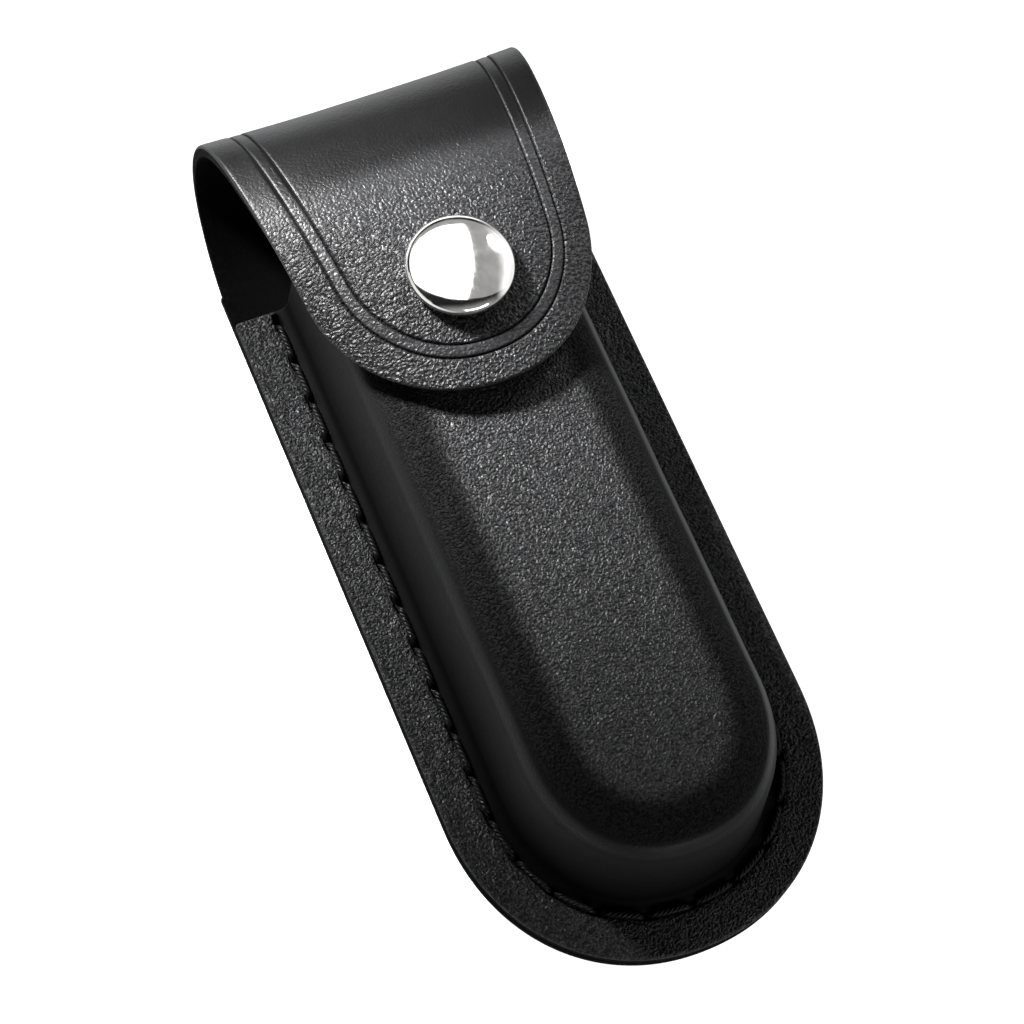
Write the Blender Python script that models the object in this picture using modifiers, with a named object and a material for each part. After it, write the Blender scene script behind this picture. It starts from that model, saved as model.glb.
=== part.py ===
"""Moulded leather belt sheath for a folding multi tool.

The sheath lies on its belt loop: +Z points out of its front, +Y runs up its
length to the fold, and X = 0 is its plane of symmetry.  Z = 0 is the outer
face of the belt loop.  One strip of leather makes the back, the fold over the
mouth and the snap-down flap; the fold is divided into short segments so that
it can bend.
"""
import math

import bmesh
import bpy
from mathutils import Matrix, Vector

MM = 0.001

# Leather and clearances
LEATHER = 1.8 * MM             # thickness of every leather layer
GAP = 0.3 * MM                 # clearance between touching pieces
BELT_GAP = 4.8 * MM            # room for a belt behind the back panel
BACK_Z = LEATHER + BELT_GAP    # grain face of the back panel
FLANGE_TOP = BACK_Z + 2 * LEATHER + GAP

# Outline shared by the back panel and the front pocket
HALF_WIDTH = 26.7 * MM
MOUTH_Y = 42.55 * MM           # top edge of the front pocket
ROUND_Y = -36.45 * MM          # where the straight sides end
ROUND_LENGTH = 28.5 * MM       # depth of the bottom end
ROUND_POWER = 2.12             # a little squarer than an ellipse

# Strip: radius and turn of each bend, from the back over the fold to the flap
FOLD_START_Y = 47.94 * MM
STRIP_BENDS = (
    (18.0 * MM, math.radians(48)),
    (11.5 * MM, math.radians(92)),
    (20.0 * MM, math.radians(17)),
    (61.0 * MM, math.radians(32)),
)
TAPER = 0.064                  # half width lost per unit of length past the mouth
TAPER_GROWTH = 0.0003 / MM
DROOP_START = 36.0 * MM        # strip length at which the sides begin to droop
DROOP_RATE = 0.05
DROOP_GROWTH = 0.0032 / MM
DROOP_HALF_WIDTH = 21.0 * MM
DROOP_POWER = 2.6
FLARE = 0.5 * MM               # how far the edges of the fold stand proud
FLAP_END_START = 64.4 * MM     # strip length at which the flap's end rounds in
FLAP_END_LENGTH = 19.8 * MM
FLAP_END_POWER = 2.15
HINGE_TURNS = tuple(math.radians(angle) for angle in (18, 54, 90, 126, 162))

# Moulded box of the front pocket
BOX_FOOT_INSET = 6.5 * MM      # flange edge to the foot of the wall
BOX_HEIGHT = 20.1 * MM         # above the flange
BOX_CROWN = 0.5 * MM
WALL_ANGLE = math.radians(85)
FOOT_RADIUS = 1.5 * MM
RIDGE_RADIUS = 8.0 * MM

# Stitching
THREAD_RADIUS = 0.4 * MM
SEAM_INSET = 5.87 * MM         # flange edge to the pocket seam
SEAM_PITCH = 6.54 * MM
SEAM_START_Y = 40.55 * MM
SLIT_HALF_LENGTH = 1.3 * MM
SLIT_HALF_WIDTH = 0.8 * MM
THREAD_LIFT = THREAD_RADIUS + GAP
THREAD_DIP = 0.6 * MM          # depth of the thread's centre in a slit
THREAD_RUN_START = 0.9 * MM    # slit centre to where the thread lies flat

# Belt loop
LOOP_HALF_WIDTH = 16.0 * MM
LOOP_LOW_Y = -44.45 * MM
LOOP_HIGH_Y = 29.55 * MM
LOOP_TAB = 8.0 * MM
LOOP_BEND_TURN = math.radians(60)
LOOP_TAB_Z = BACK_Z - GAP - LEATHER
LOOP_BEND_RADIUS = LOOP_TAB_Z / (2 * (1 - math.cos(LOOP_BEND_TURN)))
LOOP_SEAM_INSET = 2.8 * MM
LOOP_SEAM_PITCH = 4.3 * MM

# Snap fastener, a 15 mm line 24
SNAP_Y = 27.75 * MM
SNAP_HOLE_RADIUS = 2.0 * MM
STUD_BASE_Z = BACK_Z + 24.8 * MM
SOCKET_LOW_Z = BACK_Z + 25.65 * MM
SOCKET_HIGH_Z = BACK_Z + 27.4 * MM
CAP_BASE_Z = BACK_Z + 30.6 * MM
POST_BASE_Z = BACK_Z + 21.9 * MM
CAP_RADIUS = 7.5 * MM
SNAP_SIDES = 28

BLACK_GRAIN = (0.012, 0.012, 0.013, 1.0)
BLACK_THREAD = (0.006, 0.006, 0.007, 1.0)
NICKEL = (0.78, 0.77, 0.74, 1.0)
BRASS = (0.72, 0.58, 0.33, 1.0)


def clear_scene():
    for obj in list(bpy.data.objects):
        bpy.data.objects.remove(obj, do_unlink=True)


def make_collection(name):
    collection = bpy.data.collections.new(name)
    bpy.context.scene.collection.children.link(collection)
    return collection


def make_material(name, colour, roughness, metallic=0.0):
    material = bpy.data.materials.new(name)
    material.use_nodes = True
    shader = material.node_tree.nodes["Principled BSDF"]
    shader.inputs["Base Color"].default_value = colour
    shader.inputs["Roughness"].default_value = roughness
    shader.inputs["Metallic"].default_value = metallic
    return material


def add_piece(name, data, colour, roughness, metallic=0.0):
    """Put a mesh or curve in the sheath's collection with its own material."""
    obj = bpy.data.objects.new(name, data)
    data.materials.append(make_material(name, colour, roughness, metallic))
    SHEATH.objects.link(obj)
    return obj


def mesh_from(bm, name):
    mesh = bpy.data.meshes.new(name)
    bm.to_mesh(mesh)
    bm.free()
    return mesh


def add_solidify(obj):
    shell = obj.modifiers.new("Leather", "SOLIDIFY")
    shell.thickness = LEATHER
    shell.offset = -1.0
    shell.use_even_offset = True


def cut(obj, cutter):
    boolean = obj.modifiers.new(cutter.name, "BOOLEAN")
    boolean.operation = "DIFFERENCE"
    boolean.solver = "EXACT"
    boolean.object = cutter


def mapped_grid(name, columns, rows, place):
    """A grid whose vertex (column, row) sits at place(column, row)."""
    bm = bmesh.new()
    bmesh.ops.create_grid(bm, x_segments=columns, y_segments=rows, size=0.5)
    for vertex in bm.verts:
        column = round((vertex.co.x + 0.5) * columns)
        row = round((vertex.co.y + 0.5) * rows)
        vertex.co = place(column, row)
    bmesh.ops.remove_doubles(bm, verts=bm.verts, dist=0.001 * MM)
    return mesh_from(bm, name)


# --- The strip: back panel, fold and flap -----------------------------------

def strip_frame(length):
    """Y, Z and turn of the grain side at a length past the fold's start."""
    y, z, turn = FOLD_START_Y, BACK_Z, 0.0
    if length <= 0:
        return y + length, z, turn
    for radius, bend in STRIP_BENDS:
        step = min(length, radius * bend) / radius
        y += radius * (math.sin(turn + step) - math.sin(turn))
        z += radius * (math.cos(turn) - math.cos(turn + step))
        turn += step
        length -= radius * step
        if length <= 0:
            return y, z, turn
    return y + length * math.cos(turn), z + length * math.sin(turn), turn


def strip_length_at_turn(target):
    """Length past the fold's start at which the strip has turned by target."""
    length = 0.0
    for radius, bend in STRIP_BENDS:
        if target <= bend:
            return length + radius * target
        length += radius * bend
        target -= bend
    return length


def strip_half_width(length):
    y = FOLD_START_Y + length
    if y <= ROUND_Y:
        depth = min((ROUND_Y - y) / ROUND_LENGTH, 1.0)
        return HALF_WIDTH * (1 - depth ** ROUND_POWER) ** (1 / ROUND_POWER)
    past_mouth = max(y - MOUTH_Y, 0.0)
    width = HALF_WIDTH - TAPER * past_mouth - TAPER_GROWTH * past_mouth ** 2
    into_end = (length - FLAP_END_START) / FLAP_END_LENGTH
    if into_end > 0:
        rounding = 1 - min(into_end, 1.0) ** FLAP_END_POWER
        width *= rounding ** (1 / FLAP_END_POWER)
    return width


def strip_droop(length, x):
    """How far the grain side lies inside its centre line at x."""
    past = length - DROOP_START
    if past > 0:
        droop = DROOP_RATE * past + DROOP_GROWTH * past ** 2
    else:
        droop = -FLARE * math.sin(math.pi * max(length, 0.0) / DROOP_START)
    return droop * (abs(x) / DROOP_HALF_WIDTH) ** DROOP_POWER


def strip_point(length, across):
    """Point of the grain side; across runs from -1 to 1."""
    y, z, turn = strip_frame(length)
    x = -across * strip_half_width(length)
    droop = strip_droop(length, x)
    return Vector((x, y - droop * math.sin(turn), z + droop * math.cos(turn)))


def strip_hinges():
    """Length along the strip and axis point of each fold line.

    The axis lies on the outermost line of the grain side, so the segments
    part on the inside when the flap opens and never press together.
    """
    hinges = []
    for target in HINGE_TURNS:
        length = strip_length_at_turn(target)
        y, z, turn = strip_frame(length)
        proud = max(0.0, -strip_droop(length, strip_half_width(length)))
        axis = Vector((0, y + proud * math.sin(turn), z - proud * math.cos(turn)))
        hinges.append((length, axis))
    return hinges


def spread(start, end, count):
    return [start + (end - start) * i / count for i in range(count + 1)]


def end_lengths(start, reach, count, last=math.radians(84)):
    """Lengths that crowd together towards a rounded end."""
    return [start + reach * math.sin(last * i / count) for i in range(count + 1)]


def make_strip_piece(name, lengths, columns):
    def place(column, row):
        return strip_point(lengths[row], 2 * column / columns - 1)

    mesh = mapped_grid(name, columns, len(lengths) - 1, place)
    obj = add_piece(name, mesh, BLACK_GRAIN, 0.45)
    add_solidify(obj)
    return obj


def set_origin(obj, point):
    """Move the object's origin to a point without moving its shape."""
    obj.data.transform(Matrix.Translation(-point))
    obj.location = point


def make_back_panel(top):
    round_start = ROUND_Y - FOLD_START_Y
    lengths = end_lengths(round_start, -ROUND_LENGTH, 8)[::-1]
    lengths += spread(round_start, MOUTH_Y - FOLD_START_Y, 8)[1:]
    lengths += spread(MOUTH_Y - FOLD_START_Y, top, 6)[1:]
    return make_strip_piece("back_panel", lengths, 10)


def make_fold_segments(hinges):
    for number in range(len(hinges) - 1):
        start, axis = hinges[number]
        end = hinges[number + 1][0]
        lengths = spread(start + GAP / 2, end - GAP / 2, 8)
        segment = make_strip_piece(f"fold_segment_{number + 1}", lengths, 8)
        set_origin(segment, axis)


def make_flap(hinge):
    start, axis = hinge
    lengths = spread(start + GAP / 2, FLAP_END_START, 5)
    lengths += end_lengths(FLAP_END_START, FLAP_END_LENGTH, 8)[1:]
    flap = make_strip_piece("flap", lengths, 14)
    set_origin(flap, axis)
    return flap


# --- Front pocket -------------------------------------------------------------

def rounded_end(steps):
    """Edge points of the bottom end, left to right, with their inward directions."""
    outline = []
    for i in range(steps + 1):
        angle = math.pi * i / steps
        side = math.copysign(abs(math.cos(angle)), -math.cos(angle))
        across = math.copysign(abs(side) ** (2 / ROUND_POWER), side)
        down = abs(math.sin(angle)) ** (2 / ROUND_POWER)
        edge = Vector((HALF_WIDTH * across, ROUND_Y - ROUND_LENGTH * down, 0))
        slope = math.copysign(abs(across) ** (ROUND_POWER - 1), -across)
        inward = Vector((slope / HALF_WIDTH, down ** (ROUND_POWER - 1) / ROUND_LENGTH, 0))
        outline.append((edge, inward.normalized()))
    return outline


def pocket_outline():
    """Edge points of the U-shaped flange with their inward directions."""
    side_steps, end_steps = 9, 18
    heights = spread(ROUND_Y, MOUTH_Y, side_steps)[1:]
    left = [(Vector((-HALF_WIDTH, y, 0)), Vector((1, 0, 0))) for y in heights[::-1]]
    right = [(Vector((HALF_WIDTH, y, 0)), Vector((-1, 0, 0))) for y in heights]
    return left + rounded_end(end_steps) + right


def box_profile():
    """Inset and height of the flange, wall and ridge, from the edge inwards."""
    rise = 1 - math.cos(WALL_ANGLE)
    wall_length = (BOX_HEIGHT - (FOOT_RADIUS + RIDGE_RADIUS) * rise) / math.sin(WALL_ANGLE)
    profile = [(0.0, 0.0), (3.0 * MM, 0.0), (BOX_FOOT_INSET, 0.0)]
    for i in range(1, 4):
        angle = WALL_ANGLE * i / 3
        profile.append((BOX_FOOT_INSET + FOOT_RADIUS * math.sin(angle),
                        FOOT_RADIUS * (1 - math.cos(angle))))
    inset, height = profile[-1]
    inset += wall_length * math.cos(WALL_ANGLE)
    height += wall_length * math.sin(WALL_ANGLE)
    profile.append((inset, height))
    for i in range(1, 7):
        angle = WALL_ANGLE * (1 - i / 6)
        profile.append((inset + RIDGE_RADIUS * (math.sin(WALL_ANGLE) - math.sin(angle)),
                        height + RIDGE_RADIUS * (math.cos(angle) - math.cos(WALL_ANGLE))))
    return profile


def make_front_pocket():
    outline = pocket_outline()
    profile = box_profile()
    face_steps = 4
    rows = len(profile) - 1 + face_steps

    def place(column, row):
        edge, inward = outline[column]
        if row < len(profile):
            inset, height = profile[row]
            return edge + inward * inset + Vector((0, 0, FLANGE_TOP + height))
        rim = edge + inward * profile[-1][0]
        spine = Vector((0, max(edge.y, ROUND_Y), 0))
        part = (row - len(profile) + 1) / face_steps
        crown = BOX_CROWN * (1 - (1 - part) ** 2)
        return rim.lerp(spine, part) + Vector((0, 0, FLANGE_TOP + BOX_HEIGHT + crown))

    mesh = mapped_grid("front_pocket", len(outline) - 1, rows, place)
    pocket = add_piece("front_pocket", mesh, BLACK_GRAIN, 0.45)
    add_solidify(pocket)
    return pocket


# --- Stitching ------------------------------------------------------------------

class Route:
    """A polyline that can be read at any distance along it."""

    def __init__(self, points):
        self.points = points
        self.marks = [0.0]
        for a, b in zip(points, points[1:]):
            self.marks.append(self.marks[-1] + (b - a).length)
        self.length = self.marks[-1]

    def at(self, distance):
        last = len(self.points) - 2
        i = 0
        while i < last and self.marks[i + 1] < distance:
            i += 1
        direction = (self.points[i + 1] - self.points[i]).normalized()
        return self.points[i] + direction * (distance - self.marks[i]), direction

    def stitches(self, pitch):
        return spread(0.0, self.length, round(self.length / pitch))


def pocket_seam():
    """Line of the stitches that join the pocket's flange to the back panel."""
    seam_x = HALF_WIDTH - SEAM_INSET
    points = [Vector((-seam_x, SEAM_START_Y, 0))]
    points += [edge + inward * SEAM_INSET for edge, inward in rounded_end(48)]
    points.append(Vector((seam_x, SEAM_START_Y, 0)))
    return Route(points)


def loop_seam(end_y, side):
    """Three-sided line of stitches on a tab of the belt loop."""
    x = LOOP_HALF_WIDTH - LOOP_SEAM_INSET
    outer_y = end_y - side * LOOP_SEAM_INSET
    inner_y = end_y - side * (LOOP_TAB - 0.9 * MM)
    corners = ((-x, inner_y), (-x, outer_y), (x, outer_y), (x, inner_y))
    return Route([Vector((*corner, 0)) for corner in corners])


def make_slits(name, route, pitch, low_z, high_z):
    """A cutter with one upright slit at each stitch."""
    bm = bmesh.new()
    middle = (low_z + high_z) / 2
    for distance in route.stitches(pitch):
        point, direction = route.at(distance)
        matrix = (Matrix.Translation(point + Vector((0, 0, middle)))
                  @ Matrix.Rotation(math.atan2(direction.y, direction.x), 4, "Z")
                  @ Matrix.Diagonal((SLIT_HALF_LENGTH, SLIT_HALF_WIDTH, 1, 1)))
        bmesh.ops.create_cone(bm, cap_ends=True, segments=6, radius1=1, radius2=1,
                              depth=high_z - low_z, matrix=matrix)
    return add_cutter(name, mesh_from(bm, name))


def add_cutter(name, mesh):
    cutter = bpy.data.objects.new(name, mesh)
    cutter.hide_render = True
    cutter.display_type = "WIRE"
    CUTTERS.objects.link(cutter)
    return cutter


def make_thread(name, route, pitch, surface_z, outward):
    """A thread that lies on a face and dips into every slit along a seam.

    outward is 1 for a face that looks up and -1 for one that looks down.
    """
    run_z = surface_z + outward * THREAD_LIFT
    dip_z = surface_z - outward * THREAD_DIP
    stitches = route.stitches(pitch)
    points = []
    for distance in stitches:
        for offset, z in ((-THREAD_RUN_START, run_z), (0, dip_z), (THREAD_RUN_START, run_z)):
            if 0 <= distance + offset <= route.length:
                point, _ = route.at(distance + offset)
                points.append((point.x, point.y, z))
    curve = bpy.data.curves.new(name, "CURVE")
    curve.dimensions = "3D"
    curve.bevel_depth = THREAD_RADIUS
    curve.bevel_resolution = 1
    curve.use_fill_caps = True
    spline = curve.splines.new("POLY")
    spline.points.add(len(points) - 1)
    for spline_point, co in zip(spline.points, points):
        spline_point.co = (*co, 1)
    return add_piece(name, curve, BLACK_THREAD, 0.7)


# --- Belt loop ------------------------------------------------------------------

def loop_profile():
    """Y and Z of the loop's outer face, from its low end to its high end."""
    bend_y = 2 * LOOP_BEND_RADIUS * math.sin(LOOP_BEND_TURN)
    steps = 5
    down = [(LOOP_LOW_Y, LOOP_TAB_Z), (LOOP_LOW_Y + 2.0 * MM, LOOP_TAB_Z),
            (LOOP_LOW_Y + LOOP_TAB, LOOP_TAB_Z)]
    y = LOOP_LOW_Y + LOOP_TAB
    for i in range(1, steps + 1):
        angle = LOOP_BEND_TURN * i / steps
        down.append((y + LOOP_BEND_RADIUS * math.sin(angle),
                     LOOP_TAB_Z - LOOP_BEND_RADIUS * (1 - math.cos(angle))))
    for i in range(1, steps + 1):
        angle = LOOP_BEND_TURN * (1 - i / steps)
        down.append((y + bend_y - LOOP_BEND_RADIUS * math.sin(angle),
                     LOOP_BEND_RADIUS * (1 - math.cos(angle))))
    middle_y = (LOOP_LOW_Y + LOOP_HIGH_Y) / 2
    up = [(2 * middle_y - y, z) for y, z in reversed(down)]
    return down + up


def make_belt_loop():
    profile = loop_profile()
    columns = 6

    def place(column, row):
        y, z = profile[row]
        at_end = row in (0, len(profile) - 1)
        half_width = LOOP_HALF_WIDTH - (1.5 * MM if at_end else 0.0)
        return Vector((half_width * (1 - 2 * column / columns), y, z))

    mesh = mapped_grid("belt_loop", columns, len(profile) - 1, place)
    loop = add_piece("belt_loop", mesh, BLACK_GRAIN, 0.5)
    add_solidify(loop)
    return loop


# --- Snap fastener ----------------------------------------------------------------

def make_turned(name, profile, closed, colour, roughness, sides=SNAP_SIDES):
    """Turn a profile of (radius, z) about the snap's axis.

    A profile runs down its outer side; a closed one comes back up its bore.
    """
    bm = bmesh.new()
    verts = [bm.verts.new((radius, 0, z)) for radius, z in profile]
    for a, b in zip(verts, verts[1:]):
        bm.edges.new((a, b))
    if closed:
        bm.edges.new((verts[-1], verts[0]))
    piece = add_piece(name, mesh_from(bm, name), colour, roughness, 1.0)
    piece.location = (0, SNAP_Y, 0)
    screw = piece.modifiers.new("Turn", "SCREW")
    screw.axis = "Z"
    screw.steps = sides
    screw.render_steps = sides
    screw.use_merge_vertices = True
    screw.merge_threshold = 0.01 * MM
    screw.use_smooth_shade = True
    return piece


def make_snap_cap():
    dome_height, rim_height = 2.6 * MM, 0.5 * MM
    shank_radius, shank_low = 1.5 * MM, SOCKET_HIGH_Z - 0.25 * MM
    profile = []
    for i in range(8):
        angle = math.pi / 2 * i / 7
        profile.append((CAP_RADIUS * math.sin(angle),
                        CAP_BASE_Z + rim_height + dome_height * math.cos(angle)))
    profile += [(CAP_RADIUS - 0.2 * MM, CAP_BASE_Z), (shank_radius, CAP_BASE_Z),
                (shank_radius, shank_low), (0.0, shank_low)]
    return make_turned("snap_cap", profile, False, NICKEL, 0.12)


def make_snap_socket():
    outer, mouth, groove, web_hole = 5.8 * MM, 3.05 * MM, 4.3 * MM, 1.9 * MM
    web_z = SOCKET_HIGH_Z - 0.3 * MM
    groove_high = SOCKET_HIGH_Z - 0.55 * MM
    groove_low = SOCKET_LOW_Z + 0.3 * MM
    profile = [
        (web_hole, SOCKET_HIGH_Z), (outer - 0.3 * MM, SOCKET_HIGH_Z),
        (outer, SOCKET_HIGH_Z - 0.3 * MM), (outer - 0.6 * MM, SOCKET_LOW_Z),
        (mouth, SOCKET_LOW_Z), (mouth, groove_low), (groove, groove_low),
        (groove, groove_high), (mouth, groove_high), (mouth, web_z), (web_hole, web_z),
    ]
    return make_turned("snap_socket", profile, True, NICKEL, 0.2)


def make_snap_spring():
    ring_radius, wire_radius, wire_sides = 3.5 * MM, 0.25 * MM, 6
    middle = (SOCKET_LOW_Z + SOCKET_HIGH_Z) / 2 - 0.125 * MM
    profile = []
    for i in range(wire_sides):
        angle = -2 * math.pi * i / wire_sides
        profile.append((ring_radius + wire_radius * math.cos(angle),
                        middle + wire_radius * math.sin(angle)))
    return make_turned("snap_spring", profile, True, BRASS, 0.3)


def make_snap_stud():
    base, neck, ball, bore = 5.0 * MM, 2.2 * MM, 2.7 * MM, 1.65 * MM
    z = STUD_BASE_Z
    profile = [
        (bore, z + 2.0 * MM), (neck, z + 2.0 * MM), (ball, z + 1.6 * MM),
        (ball, z + 1.3 * MM), (neck, z + 1.0 * MM), (neck, z + 0.5 * MM),
        (base - 0.3 * MM, z + 0.5 * MM), (base, z + 0.25 * MM), (base, z), (bore, z),
    ]
    return make_turned("snap_stud", profile, True, NICKEL, 0.2)


def make_snap_post():
    flange, shank = 4.6 * MM, 1.3 * MM
    flange_top = POST_BASE_Z + 0.5 * MM
    shank_top = STUD_BASE_Z + 1.7 * MM
    profile = [
        (0.0, shank_top), (shank, shank_top), (shank, flange_top),
        (flange - 0.2 * MM, flange_top), (flange, flange_top - 0.2 * MM),
        (flange - 0.4 * MM, POST_BASE_Z), (0.0, POST_BASE_Z),
    ]
    return make_turned("snap_post", profile, False, NICKEL, 0.25)


def make_snap_hole(name, low_z, high_z):
    bm = bmesh.new()
    bmesh.ops.create_cone(bm, cap_ends=True, segments=16, depth=high_z - low_z,
                          radius1=SNAP_HOLE_RADIUS, radius2=SNAP_HOLE_RADIUS)
    cutter = add_cutter(name, mesh_from(bm, name))
    cutter.location = (0, SNAP_Y, (low_z + high_z) / 2)
    return cutter


def smooth_round_pieces():
    """Shade smooth with sharp edges kept where faces meet at an angle."""
    for obj in SHEATH.objects:
        if obj.type == "MESH":
            obj.data.shade_smooth()
            obj.data.set_sharp_from_angle(angle=math.radians(35))


def build_leather():
    hinges = strip_hinges()
    back_panel = make_back_panel(hinges[0][0] - GAP / 2)
    make_fold_segments(hinges)
    flap = make_flap(hinges[-1])
    front_pocket = make_front_pocket()
    belt_loop = make_belt_loop()

    seam = pocket_seam()
    slits = make_slits("pocket_slits", seam, SEAM_PITCH, BACK_Z - LEATHER, FLANGE_TOP + 0.2 * MM)
    cut(back_panel, slits)
    cut(front_pocket, slits)
    make_thread("pocket_thread", seam, SEAM_PITCH, FLANGE_TOP, 1)
    make_thread("pocket_bobbin_thread", seam, SEAM_PITCH, BACK_Z, -1)

    for word, end_y, side in (("upper", LOOP_HIGH_Y, 1), ("lower", LOOP_LOW_Y, -1)):
        tab_seam = loop_seam(end_y, side)
        tab_slits = make_slits(f"{word}_loop_slits", tab_seam, LOOP_SEAM_PITCH,
                               LOOP_TAB_Z - LEATHER, BACK_Z + 2 * LEATHER)
        cut(belt_loop, tab_slits)
        cut(back_panel, tab_slits)
        make_thread(f"loop_{word}_thread", tab_seam, LOOP_SEAM_PITCH, LOOP_TAB_Z, -1)
        make_thread(f"loop_{word}_bobbin_thread", tab_seam, LOOP_SEAM_PITCH, BACK_Z + LEATHER, 1)

    cut(front_pocket, make_snap_hole("stud_hole", POST_BASE_Z, STUD_BASE_Z))
    cut(flap, make_snap_hole("cap_hole", SOCKET_HIGH_Z, CAP_BASE_Z))


def build_snap():
    make_snap_cap()
    make_snap_socket()
    make_snap_spring()
    make_snap_stud()
    make_snap_post()


clear_scene()
SHEATH = make_collection("multi_tool_sheath")
CUTTERS = make_collection("cutters")
build_leather()
build_snap()
smooth_round_pieces()
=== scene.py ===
import math

import bmesh
import bpy
import numpy as np
from mathutils import Euler, Matrix, Vector


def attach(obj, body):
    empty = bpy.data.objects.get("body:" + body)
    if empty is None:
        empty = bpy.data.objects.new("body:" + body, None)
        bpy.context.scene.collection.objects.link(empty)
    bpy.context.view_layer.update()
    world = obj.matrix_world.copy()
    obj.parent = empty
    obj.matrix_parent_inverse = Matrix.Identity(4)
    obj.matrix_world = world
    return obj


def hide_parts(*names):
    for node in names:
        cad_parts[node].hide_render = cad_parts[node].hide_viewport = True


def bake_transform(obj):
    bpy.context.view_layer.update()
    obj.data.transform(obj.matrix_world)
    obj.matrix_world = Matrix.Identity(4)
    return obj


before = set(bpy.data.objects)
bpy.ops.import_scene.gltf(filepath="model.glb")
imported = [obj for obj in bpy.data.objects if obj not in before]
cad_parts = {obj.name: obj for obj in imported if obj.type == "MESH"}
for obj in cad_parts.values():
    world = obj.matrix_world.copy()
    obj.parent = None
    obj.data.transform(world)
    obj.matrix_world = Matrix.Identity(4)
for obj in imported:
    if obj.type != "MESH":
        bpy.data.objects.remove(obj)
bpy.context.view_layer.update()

# A moulded black leather belt sheath for a folding multi tool: one strip that is the
# back panel, the fold and the flap, a moulded pocket, a belt loop, their seams and a snap.
# The sheath lies on its back with its mouth toward +Y and its front toward +Z.

MM = 0.001

# Sizes repeated from the CAD part
LEATHER = 1.8 * MM
BACK_Z = 6.6 * MM              # grain face of the back panel
FLANGE_TOP = BACK_Z + 3.9 * MM
HALF_WIDTH = 26.7 * MM
MOUTH_Y = 42.55 * MM
ROUND_Y = -36.45 * MM
ROUND_LENGTH = 28.5 * MM
ROUND_POWER = 2.12
FOLD_START_Y = 47.94 * MM
STRIP_BENDS = (
    (18.0 * MM, math.radians(48)),
    (11.5 * MM, math.radians(92)),
    (20.0 * MM, math.radians(17)),
    (61.0 * MM, math.radians(32)),
)
HINGE_LENGTHS = (5.655 * MM, 16.284 * MM, 23.51 * MM, 30.735 * MM, 44.803 * MM)
FLAP_END_START = 64.4 * MM
FLAP_END_LENGTH = 19.8 * MM
FLAP_END_POWER = 2.15
BOX_FOOT_INSET = 6.5 * MM
BOX_HEIGHT = 20.1 * MM
BOX_CROWN = 0.5 * MM
WALL_ANGLE = math.radians(85)
FOOT_RADIUS = 1.5 * MM
RIDGE_RADIUS = 8.0 * MM
SEAM_INSET = 5.87 * MM
SEAM_PITCH = 6.54 * MM
SEAM_START_Y = 40.55 * MM
LOOP_HALF_WIDTH = 16.0 * MM
LOOP_LOW_Y = -44.45 * MM
LOOP_HIGH_Y = 29.55 * MM
LOOP_TAB = 8.0 * MM
LOOP_BEND_TURN = math.radians(60)
LOOP_TAB_Z = BACK_Z - 2.1 * MM
LOOP_BEND_RADIUS = LOOP_TAB_Z / (2 * (1 - math.cos(LOOP_BEND_TURN)))
LOOP_SEAM_INSET = 2.8 * MM
LOOP_SEAM_PITCH = 4.3 * MM
SNAP_Y = 27.75 * MM
STUD_BASE_Z = BACK_Z + 24.8 * MM
SOCKET_LOW_Z = BACK_Z + 25.65 * MM
SOCKET_HIGH_Z = BACK_Z + 27.4 * MM
CAP_BASE_Z = BACK_Z + 30.6 * MM
POST_BASE_Z = BACK_Z + 21.9 * MM
CAP_RADIUS = 7.5 * MM

# Detail that only the looks have
GRAIN_EDGE = 0.45 * MM         # rounding of a cut edge on the grain side
FLESH_EDGE = 0.3 * MM
EDGE_STEPS = 5
CREASES = (4.3 * MM, 6.2 * MM)
CREASE_DEPTH = 0.36 * MM
CREASE_HALF_WIDTH = 0.17 * MM
BAND_DEPTH = 0.07 * MM
SLIT_DEPTH = 1.25 * MM
SLIT_HALF = (1.5 * MM, 0.62 * MM)
CHANNEL_DEPTH = 0.28 * MM
CHANNEL_HALF_WIDTH = 0.62 * MM
STRIP_GRAIN = 0.82             # the strip's grain is a little coarser than the pocket's
SWELL = 0.022 * MM             # slow unevenness of the hide
SWELL_LENGTH = 15 * MM
RIM_WIDTH = 0.55 * MM          # how far in from a cut edge its dye shows
END_RIM_WIDTH = 0.5 * MM
MOUTH_CORNER = 0.7 * MM        # rounding in plan of the flange's corners at the mouth
LOOP_CORNER = 2.5 * MM
PUNCH_RADIUS = 2.0 * MM
MERGE_DISTANCE = 0.002 * MM
SLIVER = 0.02 * MM             # width of the thin row beside a cut
# Columns from a cut end inwards, close together where its edge is rounded
END_STEPS = np.array([0, 0.02, 0.06, 0.12, 0.2, 0.3, 0.45, 0.7]) * MM

random = np.random.default_rng(7)


# --- Materials ------------------------------------------------------------------

def add_node(tree, kind, inputs=None, **settings):
    """Add a shader node; an input is a value or the socket that feeds it."""
    node = tree.nodes.new(kind)
    for key, value in settings.items():
        setattr(node, key, value)
    for key, value in (inputs or {}).items():
        if isinstance(value, bpy.types.NodeSocket):
            tree.links.new(value, node.inputs[key])
        else:
            node.inputs[key].default_value = value
    return node


def math_node(tree, operation, a, b=0.0, c=0.0, clamp=False):
    return add_node(tree, "ShaderNodeMath", {0: a, 1: b, 2: c}, operation=operation,
                    use_clamp=clamp).outputs[0]


def fade(tree, value, low, high, start=0.0, end=1.0):
    return add_node(tree, "ShaderNodeMapRange", {
        "Value": value, "From Min": low, "From Max": high, "To Min": start, "To Max": end,
    }, interpolation_type="SMOOTHSTEP").outputs[0]


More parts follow.
